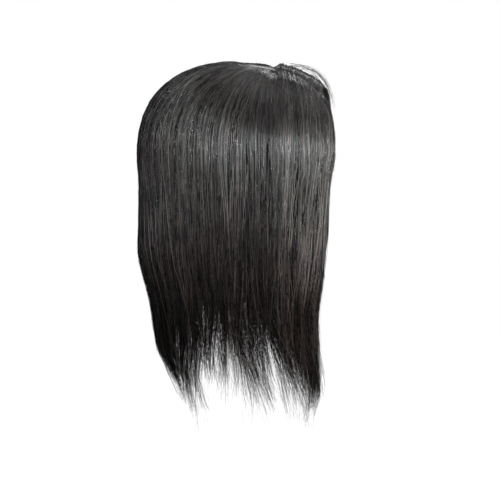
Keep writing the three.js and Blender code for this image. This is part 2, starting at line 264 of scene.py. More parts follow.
# Where strands at the hairline and over the crest begin, bend and end: ranges in millimetres,
# the drop and the rise of a bend counted from the root, and so is the crest's first range of ends
HAIRLINE_ROOT = ((-33.0, -25.0), (-84.0, -76.0))
HAIRLINE_BEND = ((-38.0, -30.0), (-97.0, -90.0), (4.0, 14.0))
HAIRLINE_END = ((-58.0, -44.0), (-93.0, -87.0), (-120.0, -80.0))
CREST_ROOT = ((-22.0, 10.0), (-62.0, -44.0))
CREST_END = ((-6.0, 14.0), (-96.0, -90.0), (-50.0, -24.0))
CREST_BEND = ((-90.0, -78.0), (-2.0, 5.0))

# Stretches of the fall, as shares, over which a movement sets in or dies out
SHIFT_RISE = (0.05, 0.85)
RIPPLE_RISE = (0.3, 0.8)
PULL_RISE = (0.25, 1.0)
CURL_RISE = (0.5, 0.85)
RELIEF_RISE = (0.1, 0.7)
TURN_RISE = (0.0, 0.12)
GLOSS_FADE = (0.3, 0.6)
GLOSS_RISE_ON_DOME = (0.5, 0.9)
FREE_RISE = (0.0, 0.3)

# Between these angles the strands drift less and less, so that the front opening stays open
FRONT_CALM_DEGREES = (27.0, 38.0)
FRONT_CALM_SHARE = 0.25

# Strands without any movement of their own; each set of strands changes some of it
STILL = dict.fromkeys([
    "pull_top", "pull_tip", "spread", "clump_wave", "clump_lean", "clump_swell", "clump_out",
    "wander", "lean", "ripple", "out_wander", "longer", "thin_tips", "gloss_wave", "top_relief",
    "bow", "dive",
], 0.0)

# The stage and the camera, in metres
FLOOR_LEVEL = -0.397
FLOOR_RADIUS = 30.0
FLOOR_GLOW = 1.0
WORLD_LIGHT = 0.12
CAMERA_DISTANCE = 2.2
SENSOR_WIDTH = 36.0
VIEW_WIDTH = 0.52
VIEW_MIDDLE = (-0.0074, -0.189)

# Name, place, target, width, height, power in watts, spread and roll in degrees
LIGHTS = [
    ("window_light", (-2.32, -0.65, 0.055), (0.0, -0.13, -0.15), 0.46, 0.2, 0.32, 8.0, -36.0),
    ("fill_light", (-2.0, -0.5, 0.0), (0.0, 0.0, -0.2), 1.6, 1.6, 2.5, 180.0, 0.0),
    ("top_light", (-0.5, -0.9, 1.4), (0.0, 0.0, -0.1), 1.4, 1.4, 11.0, 180.0, 0.0),
    ("crest_light", (1.06, -0.6, 1.58), (0.0, 0.0, 0.0), 0.7, 0.7, 16.0, 180.0, 0.0),
]


def blend(low, high, share):
    return low + (high - low) * share


def ease(value, low, high):
    share = np.clip((value - low) / (high - low), 0.0, 1.0)
    return share * share * (3.0 - 2.0 * share)


def wave(turns):
    return np.sin(2.0 * np.pi * turns)


def scatter(number):
    """The same scattered value between -1 and 1 for a number as in the solids."""
    far = math.sin(number * 127.1 + 11.7) * 43758.5453
    return 2.0 * (far - math.floor(far)) - 1.0


def read_table(table, column, at):
    keys = table[:, 0]
    row = np.clip(np.searchsorted(keys, at, side="right") - 1, 0, len(keys) - 2)
    share = ease(at, keys[row], keys[row + 1])
    return blend(table[row, column], table[row + 1, column], share)


def plan_radius(angle, half_width, half_length):
    total = (np.abs(np.sin(angle) / half_width) ** ROUNDNESS
             + np.abs(np.cos(angle) / half_length) ** ROUNDNESS)
    return total ** (-1.0 / ROUNDNESS)


def dome_height(x, y, half_width, half_length, height):
    left = 1.0 - np.abs(x / half_width) ** ROUNDNESS - np.abs(y / half_length) ** ROUNDNESS
    return height * np.maximum(left, 0.0) ** (1.0 / ROUNDNESS)


def thickness_at_seat(angle):
    reach = np.where(np.cos(angle) > 0, HAIR_FRONT_REACH, HAIR_BACK_REACH)
    return (plan_radius(angle, HAIR_HALF_WIDTH, reach)
            - plan_radius(angle, SEAT_HALF_WIDTH + HAIR_SEAT_OFFSET,
                          SEAT_HALF_LENGTH + HAIR_SEAT_OFFSET))


def root_point(side, share):
    along = share * ROOT_LINE
    turn = np.maximum(along - PARTING_LENGTH, 0.0) / CROWN_RADIUS
    offset = blend(PARTING_HALF_GAP, CROWN_RADIUS,
                   ease(along, PARTING_LENGTH - CROWN_BLEND, PARTING_LENGTH))
    return np.stack([
        -PARTING_OFFSET + side * offset * np.cos(turn),
        -PARTING_FRONT + np.minimum(along, PARTING_LENGTH) + offset * np.sin(turn),
    ], axis=-1)


def top_height(side, x, y):
    reach = np.where(y < 0, HAIR_FRONT_REACH, HAIR_BACK_REACH)
    dome = dome_height(x, y, HAIR_HALF_WIDTH, reach, HAIR_DEPTH)
    lift = FRONT_LIFT * read_table(LIFT_TABLE, 1, -y / HAIR_FRONT_REACH)
    full = dome + lift * (dome / HAIR_DEPTH) ** LIFT_FADE_POWER
    nearest = np.clip(y, -PARTING_FRONT, PARTING_LENGTH - PARTING_FRONT)
    distance = np.hypot(x + PARTING_OFFSET, y - nearest)
    cap = dome_height(x, y, SEAT_HALF_WIDTH + CAP_WALL, SEAT_HALF_LENGTH + CAP_WALL,
                      SEAT_DEPTH + CAP_WALL)
    groove = RIGHT_GROOVE_REACH if side < 0 else LEFT_GROOVE_REACH
    return blend(cap + ROOT_HEIGHT, full, ease(distance, 0.0, groove)) - SEAT_DEPTH


def inside_share(direction):
    """Share of a direction from the seat's middle at which it meets the hair's inner skin."""
    halves = np.array([SEAT_HALF_WIDTH, SEAT_HALF_LENGTH, SEAT_DEPTH]) + HAIR_SEAT_OFFSET
    total = (np.abs(direction / halves) ** ROUNDNESS).sum(axis=-1)
    return total ** (-1.0 / ROUNDNESS)


def fall_radius(angle, fall):
    """Angle after the sweep and the waves, and the plan radius of the outside of the hair."""
    degrees = np.degrees(angle)
    width = HAIR_HALF_WIDTH * (1.0 - NARROWING * fall * fall / (fall + NARROWING_START))
    front = HAIR_FRONT_REACH * read_table(FALL_TABLE, FRONT, fall)
    back = HAIR_BACK_REACH * read_table(FALL_TABLE, BACK, fall)
    sweep_share = np.maximum(fall - SWEEP_FROM, 0.0) / (1.0 - SWEEP_FROM)
    tip_sweep = HAIR_FALL * read_table(FRINGE_TABLE, SWEEP, degrees)
    sweep = tip_sweep * sweep_share ** SWEEP_POWER
    strength = ease(fall, WAVE_FROM, 1.0) * ease(180.0 - degrees, 0.0, CALM_BACK_DEGREES)
    turns = fall / WAVE_LENGTH_SHARE + WAVE_TURNS_AROUND * angle
    swept = angle - (sweep + WAVE_HEIGHT * strength * wave(turns)) / HAIR_HALF_WIDTH
    return swept, plan_radius(swept, width, np.where(np.cos(swept) > 0, front, back))


def section_locks(section, number):
    """The locks of a section as arrays: the same borders, ends and drifts as in the solids."""
    count = section.lock_count
    shifts = [scatter(31 * number + k) if 0 < k < count else 0.0 for k in range(count + 1)]
    borders = (np.arange(count + 1) + BORDER_SCATTER * np.array(shifts)) / count
    low, high = math.radians(section.start), math.radians(section.stop)
    middle = blend(low, high, (borders[:-1] + borders[1:]) / 2)
    degrees = np.degrees(middle)
    seeds = [97 * number + 7 * k for k in range(count)]
    return SimpleNamespace(
        borders=borders,
        middle=middle,
        half=(high - low) * (borders[1:] - borders[:-1]) / 2,
        split=read_table(FRINGE_TABLE, SPLIT, degrees),
        tip=(read_table(FRINGE_TABLE, TIP, degrees)
             + TIP_SCATTER * np.array([scatter(seed + 3) for seed in seeds])),
        fullness=read_table(FRINGE_TABLE, FULLNESS, degrees),
        drift=np.array([scatter(seed + 4) for seed in seeds]),
        proud=np.array([(1 + scatter(seed + 1)) / 2 for seed in seeds]),
    )


def draw_clumps(section, number, lock, across, clumps):
    """The small clump of each strand within its lock, with the clump's own place and waves."""
    clump = np.clip(np.floor((across + 1.0) / 2.0 * clumps).astype(int), 0, clumps - 1)
    rng = np.random.default_rng(CLUMP_SEED + number)
    size = (section.lock_count, clumps)
    jitter = rng.uniform(-CLUMP_JITTER, CLUMP_JITTER, size)
    centre = 2.0 * (np.arange(clumps) + 0.5 + 0.5 * jitter) / clumps - 1.0
    return SimpleNamespace(
        bundle=lock * clumps + clump,
        centre=centre[lock, clump],
        depth=rng.uniform(-1.0, 1.0, size)[lock, clump],
        phase=rng.uniform(0.0, 1.0, size)[lock, clump],
        length=rng.uniform(*CLUMP_WAVE_LENGTH, size)[lock, clump],
        height=rng.uniform(*CLUMP_WAVE_HEIGHT, size)[lock, clump],
        tip=rng.uniform(*CLUMP_TIP, size)[lock, clump],
        curl=rng.normal(0.0, CLUMP_CURL, size)[lock, clump],
        lean=rng.normal(0.0, 1.0, size)[lock, clump],
        swell=rng.uniform(*CLUMP_SWELL_TURNS, size)[lock, clump],
    )


def place_strands(section, number, rng, count, depth, options):
    """Each strand's place across its section, with what it has from its lock and its clump."""
    locks = section_locks(section, number)
    share = (np.arange(count) + rng.random(count)) / count
    share = rng.permutation(share)
    lock = np.searchsorted(locks.borders, share, side="right") - 1
    lock = np.clip(lock, 0, section.lock_count - 1)
    low, high = locks.borders[lock], locks.borders[lock + 1]
    across = 2.0 * (share - low) / (high - low) - 1.0
    clump = draw_clumps(section, number, lock, across, options["clumps"])
    relief = blend(PROUD_LOCK * locks.proud[lock], -VALLEY_DEPTH, across ** 2)
    relief = relief + CLUMP_RELIEF * clump.depth
    at_seat = blend(across, clump.centre, options["pull_top"])
    return SimpleNamespace(
        count=count,
        share=share,
        across=across,
        depth=depth,
        clump=clump,
        middle=locks.middle[lock],
        half=locks.half[lock],
        angle=locks.middle[lock] + locks.half[lock] * at_seat,
        split=locks.split[lock][:, None] - SPLIT_EARLIER,
        tip=locks.tip[lock],
        fullness=locks.fullness[lock][:, None],
        drift=locks.drift[lock][:, None],
        relief=relief * (1.0 - depth),
    )


def root_places(section, share, rng):
    """Where the strands leave the base: beside the parting, and gathered at its crown end."""
    count = len(share)
    root_share = blend(section.root_from, section.root_to, share)
    root_share = np.clip(root_share + rng.normal(0.0, ROOT_SCATTER, count), 0.0, 1.0)
    root = root_point(section.side, root_share)
    nearest = np.stack([
        np.full(count, -PARTING_OFFSET),
        np.clip(root[:, 1], -PARTING_FRONT, PARTING_LENGTH - PARTING_FRONT),
    ], axis=-1)
    at_crown = ease(root_share * ROOT_LINE, PARTING_LENGTH - CROWN_BLEND, PARTING_LENGTH)
    gathered = blend(1.0, rng.uniform(*CROWN_GATHERING, count), at_crown)
    return nearest + (root - nearest) * gathered[:, None]


def plan_over_dome(section, strands, rng, bow):
    """The strands seen from above, from the root line to the widest level of the seat."""
    root = root_places(section, strands.share, rng)
    angle = strands.angle
    reach = np.where(np.cos(angle) > 0, HAIR_FRONT_REACH, HAIR_BACK_REACH)
    radius = plan_radius(angle, HAIR_HALF_WIDTH, reach)
    end = np.stack([section.side * radius * np.sin(angle), -radius * np.cos(angle)], axis=-1)
    flow = np.sin(math.pi / 2 * DOME_STEPS) ** (2.0 / ROUNDNESS)
    plan = root[:, None] * (1.0 - flow)[None, :, None] + end[:, None] * flow[None, :, None]
    heading = (end - root) / np.linalg.norm(end - root, axis=-1, keepdims=True)
    beside = np.stack([-heading[:, 1], heading[:, 0]], axis=-1)
    aside = rng.normal(0.0, bow, strands.count)[:, None] * np.sin(math.pi * flow)[None, :]
    return plan + aside[..., None] * beside[:, None]


def draw_depth_waves(strands, rng, options):
    """Two functions of a place along the strands: their depth, and their small gloss waves."""
    dive_turns = rng.uniform(*DIVE_TURNS, strands.count)[:, None]
    dive_phase = rng.random(strands.count)[:, None]
    dive_height = options["dive"] * (1.0 - 0.5 * strands.depth)[:, None]
    clump_turns = blend(*CLUMP_GLOSS_TURNS, strands.clump.height)[:, None]
    clump_phase = strands.clump.phase[:, None] * 3.0
    own_turns = rng.uniform(*OWN_GLOSS_TURNS, strands.count)[:, None]
    own_phase = rng.random(strands.count)[:, None]

    def depth_at(place):
        dive = dive_height * wave(dive_turns * place + dive_phase)
        return np.clip(strands.depth[:, None] + dive, 0.0, 1.0)

    def gloss_at(place):
        """Small waves in and out, which break up the bright band of the hair into streaks."""
        own = wave(own_turns * place + own_phase)
        return options["gloss_wave"] * (wave(clump_turns * place + clump_phase)
                                        + OWN_GLOSS_SHARE * own)

    return depth_at, gloss_at


def lay_over_dome(section, strands, plan, depth_at, gloss_at, options):
    """The strands over the dome: they leave the base at their start and settle in their depth."""
    height = top_height(section.side, plan[..., 0], plan[..., 1])
    to_seat = np.array([0.0, 0.0, SEAT_DEPTH])
    direction = np.concatenate([plan, height[..., None]], axis=-1) + to_seat
    full = np.linalg.norm(direction, axis=-1)
    inside = full * inside_share(direction)
    thickness = full - inside
    steps = DOME_STEPS[None, :]
    start = options["start"][:, None]
    settle = ease(steps, start, start + SETTLE_STEPS)
    relief = options["top_relief"] * strands.relief[:, None]
    relief = relief * np.minimum(1.0, thickness / THIN_HAIR)
    gloss = gloss_at(0.5 * (steps - 1.0)) * ease(steps, *GLOSS_RISE_ON_DOME)
    lay = full - thickness * depth_at(steps) + relief + gloss
    distance = blend(inside - CAP_CLEARANCE, lay, settle)
    return direction * (distance / full)[..., None] - to_seat


def draw_tips(strands, rng, options):
    """Where the strands end, as shares of the fall: some shorter than their lock, a few longer."""
    degrees = np.degrees(strands.angle)
    shorter = read_table(FRINGE_TABLE, SHORTER, degrees)
    shorter = shorter * rng.random(strands.count) ** options["length_power"]
    tip = np.maximum(strands.tip + strands.clump.tip - shorter, SHORTEST_TIP)
    longer = (rng.random(strands.count) < LONGER_SHARE) * rng.random(strands.count)
    tip = tip + options["longer"] * longer
    return tip + options["thin_tips"] * read_table(THIN_TIPS_TABLE, 1, degrees)


def shift_sideways(strands, rng, tip, fall, own_turns, own_phase, options):
    """Waves, leans and curls along the outline, in millimetres towards the back."""
    clump = strands.clump
    clump_wave = clump.height[:, None] * wave(fall / clump.length[:, None] + clump.phase[:, None])
    own = wave(own_turns * fall + own_phase) - wave(own_phase)
    ripple_turns = rng.uniform(*RIPPLE_TURNS, strands.count)[:, None]
    ripple = wave(ripple_turns * fall + own_phase * 5.0)
    lean = options["lean"] * rng.normal(0.0, 1.0, strands.count)
    lean = lean + options["clump_lean"] * clump.lean
    curl = read_table(FRINGE_TABLE, CURL, np.degrees(strands.angle)) + clump.curl
    curl = curl + rng.normal(0.0, OWN_CURL, strands.count)
    near_tip = np.clip((FALL_STEPS[None, :] - CURL_FROM) / (1.0 - CURL_FROM), 0.0, 1.0) ** 2
    return (-curl[:, None] * near_tip * ease(tip, *CURL_RISE)[:, None]
            + options["clump_wave"] * clump_wave * ease(fall, *SHIFT_RISE)
            + options["wander"] * own * (0.1 + fall)
            + options["ripple"] * ripple * ease(fall, *RIPPLE_RISE)
            + lean[:, None] * fall)


def shift_outwards(strands, rng, fall, progress, own_phase, options):
    """Relief of the locks and waves of the strands across the outline, in millimetres."""
    clump = strands.clump
    out_turns = rng.uniform(*OUT_TURNS, strands.count)[:, None]
    return (strands.relief[:, None] * (1.0 - 0.6 * progress)
            + options["out_wander"] * wave(out_turns * fall + own_phase * 3.0)
            + options["clump_swell"] * wave(clump.swell[:, None] * fall + clump.phase[:, None])
            + options["clump_out"] * clump.depth[:, None] * ease(fall, *SHIFT_RISE))


def fall_below(section, strands, rng, depth_at, gloss_at, options):
    """The strands from the widest level of the seat to their tips."""
    tip = draw_tips(strands, rng, options)
    fall = tip[:, None] * FALL_STEPS[None, :]
    progress = (fall - strands.split) / (strands.tip[:, None] - strands.split)
    progress = np.clip(progress, 0.0, 1.0)
    taper = TIP_WIDTH_SHARE + (1.0 - TIP_WIDTH_SHARE) * (1.0 - progress) ** TAPER_POWER
    narrow = taper * blend(1.0, strands.fullness, ease(progress, 0.0, NARROWED_BY))
    drift = DRIFT_SHARE * strands.drift * (1.0 - narrow)
    loose = options["loose"][:, None]
    width = blend(narrow, 1.0, np.maximum(loose, options["spread"]))
    pull = blend(options["pull_top"], options["pull_tip"], ease(fall, *PULL_RISE)) * (1.0 - loose)
    placed = blend(strands.across[:, None], strands.clump.centre[:, None], pull)
    column = strands.middle[:, None] + strands.half[:, None] * (drift + placed * width)
    swept, outline = fall_radius(column, fall)

    own_turns = rng.uniform(*OWN_TURNS, strands.count)[:, None]
    own_phase = rng.random(strands.count)[:, None]
    sideways = shift_sideways(strands, rng, tip, fall, own_turns, own_phase, options)
    calm = blend(FRONT_CALM_SHARE, 1.0, ease(np.degrees(column), *FRONT_CALM_DEGREES))
    sideways = np.where(sideways < 0.0, sideways * calm, sideways)
    turned = swept + sideways * ease(fall, *TURN_RISE) / HAIR_HALF_WIDTH

    thickness = thickness_at_seat(strands.angle)[:, None] * read_table(FALL_TABLE, THICKNESS, fall)
    own_thickness = thickness * blend(1.0, TIP_THICKNESS_SHARE, progress)
    under = depth_at(1.0 + DIVE_TURNS_BELOW * fall)
    in_lock = thickness / 2 + (under - 0.5) * own_thickness
    deep = blend(under * thickness, in_lock, ease(progress, *FREE_RISE))
    outwards = shift_outwards(strands, rng, fall, progress, own_phase, options)
    top_relief = options["top_relief"] * strands.relief[:, None]
    distance = outline - deep + blend(top_relief, outwards, ease(fall, *RELIEF_RISE))
    distance = distance + gloss_at(fall) * (1.0 - ease(fall, *GLOSS_FADE))
    return np.stack([
        section.side * distance * np.sin(turned),
        -distance * np.cos(turned),
        -SEAT_DEPTH - HAIR_FALL * fall,
    ], axis=-1)


def strand_paths(section, number, rng, count, depth, options, rows):
    """Evenly spaced points of count strands of one section, with what their shade follows."""
    strands = place_strands(section, number, rng, count, depth, options)
    plan = plan_over_dome(section, strands, rng, options["bow"])
    depth_at, gloss_at = draw_depth_waves(strands, rng, options)
    dome = lay_over_dome(section, strands, plan, depth_at, gloss_at, options)
    below = fall_below(section, strands, rng, depth_at, gloss_at, options)
    first = options["start"] * (DOME_SAMPLES - 1)
    points, reached = thin_out(np.concatenate([dome, below], axis=1), first, rows)
    degrees = blend(section.start, section.stop, strands.share)
    return points, reached, degrees, strands.clump.bundle


def thin_out(paths, first, point_count):
    """The same paths with evenly spaced points, from each strand's own start."""
    steps = np.linalg.norm(np.diff(paths, axis=1), axis=-1)
    along = np.concatenate([np.zeros((len(paths), 1)), np.cumsum(steps, axis=1)], axis=1)
    places = np.arange(paths.shape[1])
    points = np.empty((len(paths), point_count, 3))
    reached = np.empty((len(paths), point_count))
    even = np.linspace(0.0, 1.0, point_count)
    for i in range(len(paths)):
        begin = np.interp(first[i], places, along[i])
        wanted = begin + (along[i, -1] - begin) * even
        for axis in range(3):
            points[i, :, axis] = np.interp(wanted, along[i], paths[i, :, axis])
        reached[i] = wanted
    return points, reached


def tube_arrays(points, reached, wide, thick, turn, cell, corner_count):
    """Closed tubes along the paths: corners, faces and their places in the shade map."""
    count, rows = points.shape[:2]
    tangent = np.gradient(points, axis=1)
    tangent /= np.linalg.norm(tangent, axis=-1, keepdims=True)
    middle = np.zeros_like(points)
    middle[..., 2] = np.minimum(points[..., 2], -SEAT_DEPTH)
    outward = points - middle
    outward -= (outward * tangent).sum(axis=-1, keepdims=True) * tangent
    outward /= np.linalg.norm(outward, axis=-1, keepdims=True)
    sideways = np.cross(tangent, outward)
    corners = np.arange(corner_count) / corner_count * 2.0 * math.pi
    ring = corners[None, None, :, None] + turn[:, None, None, None]
    rings = (points[:, :, None]
             + thick[..., None, None] * np.cos(ring) * outward[:, :, None]
             + wide[..., None, None] * np.sin(ring) * sideways[:, :, None])
    vertices = rings.reshape(-1, 3) * MM

    number = np.arange(count * rows * corner_count).reshape(count, rows, corner_count)
    following = np.roll(number, -1, axis=2)
    walls = np.stack([number[:, :-1], following[:, :-1], following[:, 1:], number[:, 1:]], axis=-1)
    height = 1.0 - np.clip(reached / PATH_LENGTH, 0.0, MAP_END)
    cell_width = 1.0 / SHADE_CELLS
    left = (cell[:, None, None] * cell_width
            + cell_width * (CELL_MARGIN + CELL_USED * np.arange(corner_count) / corner_count))
    left = np.broadcast_to(left, (count, rows - 1, corner_count))
    right = left + CELL_USED * cell_width / corner_count
    upper = np.broadcast_to(height[:, :-1, None], left.shape)
    lower = np.broadcast_to(height[:, 1:, None], left.shape)
    wall_map = np.stack([
        np.stack([left, upper], axis=-1),
        np.stack([right, upper], axis=-1),
        np.stack([right, lower], axis=-1),
        np.stack([left, lower], axis=-1),
    ], axis=-2)

    ends = np.concatenate([number[:, 0, ::-1], number[:, -1]])
    end_u = (np.concatenate([cell, cell])[:, None] + 0.5) * cell_width
    end_v = np.concatenate([height[:, 0], height[:, -1]])[:, None]
    end_v = np.clip(end_v, 1.0 - MAP_END, MAP_END)
    end_map = np.stack([
        end_u + CAP_IN_CELL * cell_width * np.cos(corners)[None, :],
        end_v + CAP_ALONG * np.sin(corners)[None, :],
    ], axis=-1)
    return vertices, walls.reshape(-1, 4), wall_map.reshape(-1, 2), ends, end_map.reshape(-1, 2)


def make_piece(name, parts, material):
    """One mesh object from several sets of tubes."""
    vertices, loops, sizes, maps = [], [], [], []
    offset = 0
    for corners, walls, wall_map, ends, end_map in parts:
        vertices.append(corners)
        loops.append((walls + offset).ravel())
        sizes.append(np.full(len(walls), 4))
        maps.append(wall_map)
        loops.append((ends + offset).ravel())
        sizes.append(np.full(len(ends), ends.shape[1]))
        maps.append(end_map)
        offset += len(corners)
    vertices = np.concatenate(vertices)
    loops = np.concatenate(loops)
    sizes = np.concatenate(sizes)
    maps = np.concatenate(maps)
    mesh = bpy.data.meshes.new(name)
    mesh.vertices.add(len(vertices))
    mesh.vertices.foreach_set("co", vertices.ravel().astype(np.float32))
    mesh.loops.add(len(loops))
    mesh.loops.foreach_set("vertex_index", loops.astype(np.int32))
    mesh.polygons.add(len(sizes))
    starts = np.concatenate([[0], np.cumsum(sizes)[:-1]])
    mesh.polygons.foreach_set("loop_start", starts.astype(np.int32))
    mesh.update(calc_edges=True)
    mesh.polygons.foreach_set("use_smooth", np.ones(len(sizes), dtype=bool))
    layer = mesh.uv_layers.new(name="OFBake")
    layer.data.foreach_set("uv", maps.ravel().astype(np.float32))
    mesh.update()
    mesh.materials.append(material)
    piece = bpy.data.objects.new(name, mesh)
    bpy.context.scene.collection.objects.link(piece)
    return piece


def strand_radius(rng, count, rows, scale):
    """Radius along each strand: fine at the root, tapering over the last third."""
    along = np.linspace(0.0, 1.0, rows)[None, :]
    own = STRAND_RADIUS * scale * rng.uniform(*RADIUS_RANGE, count)[:, None]
    to_tip = blend(1.0, TIP_RADIUS_SHARE, ease(along, 0.6, 1.0))
    return own * to_tip * blend(ROOT_RADIUS_SHARE, 1.0, ease(along, 0.0, 0.1))


def draw_cells(rng, bundle, degrees, grey_share):
    """Place of each strand in the shade map, from near-black to light grey, by its bundle, with
    painted shade making the strands darker towards the back and lighter at the front.
    """
    count = len(bundle)
    bundle_shade, bundle_grey = np.random.default_rng(BUNDLE_SEED).random((2, bundle.max() + 1))
    follows = rng.random(count) < BUNDLE_SHADE_SHARE
    shared = bundle_shade[bundle] + rng.normal(0.0, BUNDLE_SHADE_SCATTER, count)
    shade = np.where(follows, shared, rng.random(count))
    # Painted light and shade by the angle: lighter at the front, darker at the back turned from the
    # light
    painted_shade = read_table(SHADE_TABLE, PAINTED_SIDE_SHADE, degrees)
    dark_range = GREY_CELL - PAINTED_SHADE_CELLS
    cell = PAINTED_SHADE_CELLS + (dark_range * np.clip(painted_shade * shade, 0.0, 0.99)).astype(int)
    greyness = grey_share * read_table(SHADE_TABLE, GREYNESS, degrees)
    grey = rng.random(count) < greyness * blend(*BUNDLE_GREYNESS, bundle_grey[bundle])
    cell[grey] = rng.integers(GREY_CELL, SHADE_CELLS, grey.sum())
    return cell


def strand_set(section, number, seed, count, rows, depth, options, grey_share):
    """Tubes of one set of strands of a section."""
    rng = np.random.default_rng(seed)
    points, reached, degrees, bundle = strand_paths(
        section, number, rng, count, depth, options, rows)
    cell = draw_cells(rng, bundle, degrees, grey_share)
    thicker = np.where(cell >= GREY_CELL, GREY_RADIUS_SHARE, 1.0)[:, None]
    radius = strand_radius(rng, count, rows, 1.0) * thicker
    turn = rng.uniform(0.0, 2.0 * math.pi, count)
    return tube_arrays(points, reached, radius, radius, turn, cell.astype(float), 3)


def hair_piece(section, number, material):
    """The strands of one section, in the place of its solid."""
    rng = np.random.default_rng(DEPTH_SEED + number)
    outer_depth = 0.03 + 0.42 * rng.random(OUTER_STRANDS) ** 1.3
    is_loose = rng.random(OUTER_STRANDS) < 0.2
    outer_options = dict(
        STILL, clumps=6, pull_top=0.55, pull_tip=0.85,
        loose=np.where(is_loose, rng.uniform(0.2, 0.8, OUTER_STRANDS), 0.05),
        start=np.clip((outer_depth - 0.12) * 1.5, 0.0, 0.6) * rng.random(OUTER_STRANDS),
        spread=0.35, length_power=1.3, longer=0.1, thin_tips=1.0,
        clump_wave=4.2, clump_lean=6.0, clump_swell=1.0, clump_out=1.0,
        wander=1.6, lean=2.0, ripple=1.8, out_wander=0.75, gloss_wave=0.6,
        top_relief=0.15, bow=1.6, dive=0.05)
    inner_depth = 0.4 + 0.55 * rng.random(INNER_STRANDS)
    inner_options = dict(
        outer_options, loose=np.full(INNER_STRANDS, 0.05),
        start=0.1 + 0.6 * rng.random(INNER_STRANDS), length_power=1.0)
    parts = [
        strand_set(section, number, OUTER_SEED + number, OUTER_STRANDS, OUTER_POINTS,
                   outer_depth, outer_options, GREY_SHARE),
        strand_set(section, number, INNER_SEED + number, INNER_STRANDS, INNER_POINTS,
                   inner_depth, inner_options, GREY_SHARE * INNER_GREYNESS),
        under_locks(section, number),
    ]
    if section.name == "right_front_hair":
        parts.append(hairline_strands())
    piece = make_piece(section.name + "_strands", parts, material)
    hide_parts(section.name)
    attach(piece, "root")


def under_locks(section, number):
    """Flat locks in the depth of the hair, which close it between the outer strands; they take the
    darkest cells as painted shade deep in the hair.
    """
    behind = section.name.endswith("back_hair")
    count = UNDER_LOCKS_BEHIND if behind else UNDER_LOCKS
    rng = np.random.default_rng(UNDER_SEED + number)
    depth = rng.uniform(0.5, 0.7, count)
    options = dict(
        STILL, clumps=6, pull_tip=0.15, loose=np.zeros(count), start=np.full(count, 0.05),
        length_power=0.7, clump_wave=1.0, clump_lean=1.5, clump_swell=0.6, clump_out=1.0,
        wander=0.5, out_wander=0.3, gloss_wave=0.2, top_relief=0.15)
    if behind:
        options.update(clump_wave=0.2, clump_lean=0.2, wander=0.2)
    points, reached, *_ = strand_paths(section, number, rng, count, depth, options, UNDER_POINTS)
    along = np.linspace(0.0, 1.0, UNDER_POINTS)[None, :]
    spacing = math.radians(section.stop - section.start) * HAIR_HALF_WIDTH / count
    from_root = blend(0.35, 1.0, ease(along, 0.0, 0.25))
    taper_from = UNDER_TAPER_FROM_BEHIND if behind else UNDER_TAPER_FROM
    to_tip = blend(1.0, UNDER_TIP_WIDTH, ease(along, taper_from, 1.0))
    overlap = UNDER_OVERLAP_BEHIND if behind else UNDER_OVERLAP
    wide = overlap * spacing * from_root * to_tip * np.ones((count, 1))
    thick = UNDER_THICKNESS * blend(1.0, TIP_RADIUS_SHARE, ease(along, 0.6, 1.0))
    thick = thick * np.ones((count, 1))
    # The under locks take the darkest cells: painted shade in the depth of the hair
    cell = rng.integers(0, PAINTED_SHADE_CELLS, count).astype(float)
    return tube_arrays(points, reached, wide, thick, np.full(count, math.pi / 4), cell, 4)


def strays_of_section(section, number):
    """Single strands of a section that lie across the others."""
    rng = np.random.default_rng(STRAY_SEED + number)
    count = STRAYS_IN_SECTION
    depth = rng.uniform(-0.08, 0.0, count)
    options = dict(
        STILL, clumps=1, loose=rng.uniform(0.3, 0.9, count), start=rng.uniform(0.1, 0.6, count),
        length_power=0.8, longer=0.1, thin_tips=1.0, wander=7.0, lean=14.0, ripple=2.0,
        out_wander=0.8, gloss_wave=0.4, bow=7.0)
    points, reached, degrees, bundle = strand_paths(
        section, number, rng, count, depth, options, OUTER_POINTS)
    cell = draw_cells(rng, bundle, degrees, STRAY_GREY_SHARE)
    radius = strand_radius(rng, count, OUTER_POINTS, STRAY_RADIUS_SHARE)
    turn = rng.uniform(0.0, 2.0 * math.pi, count)
    return tube_arrays(points, reached, radius, radius, turn, cell.astype(float), 3)


def stray_strands(material):
    """Single strands that lie across the others or stand off the crest over the parting."""
    parts = [strays_of_section(section, number) for number, section in enumerate(SECTIONS)]
    parts.append(crest_strays())
    piece = make_piece("stray_strands", parts, material)
    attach(piece, "root")


def curve_strands(rng, first, middle, last, scale, cell):
    """Strands along simple arcs from the first point towards the middle one and to the last."""
    count = len(first)
    along = np.linspace(0.0, 1.0, OUTER_POINTS)[None, :, None]
    points = ((1 - along) ** 2 * first[:, None] + 2 * along * (1 - along) * middle[:, None]
              + along ** 2 * last[:, None])
    reached = np.linspace(20.0, 120.0, OUTER_POINTS)[None, :] * np.ones((count, 1))
    radius = strand_radius(rng, count, OUTER_POINTS, scale)
    return tube_arrays(points, reached, radius, radius, np.zeros(count), cell.astype(float), 3)


def draw_columns(rng, ranges, count):
    """Count scattered values for each of the ranges."""
    return [rng.uniform(*limits, count) for limits in ranges]


def hairline_strands():
    """Strands that fall from the front end of the parting and close the hair beside it."""
    rng = np.random.default_rng(HAIRLINE_SEED)
    first_x, first_y = draw_columns(rng, HAIRLINE_ROOT, HAIRLINE_STRANDS)
    height = top_height(-1, first_x, first_y)
    first = np.stack([first_x, first_y, height - 0.5], axis=-1)
    bend_x, bend_y, drop = draw_columns(rng, HAIRLINE_BEND, HAIRLINE_STRANDS)
    middle = np.stack([bend_x, bend_y, height - drop], axis=-1)
    last = np.stack(draw_columns(rng, HAIRLINE_END, HAIRLINE_STRANDS), axis=-1)
    cell = rng.integers(PAINTED_SHADE_CELLS, SHADE_CELLS - 4, HAIRLINE_STRANDS)
    return curve_strands(rng, first, middle, last, 1.0, cell)


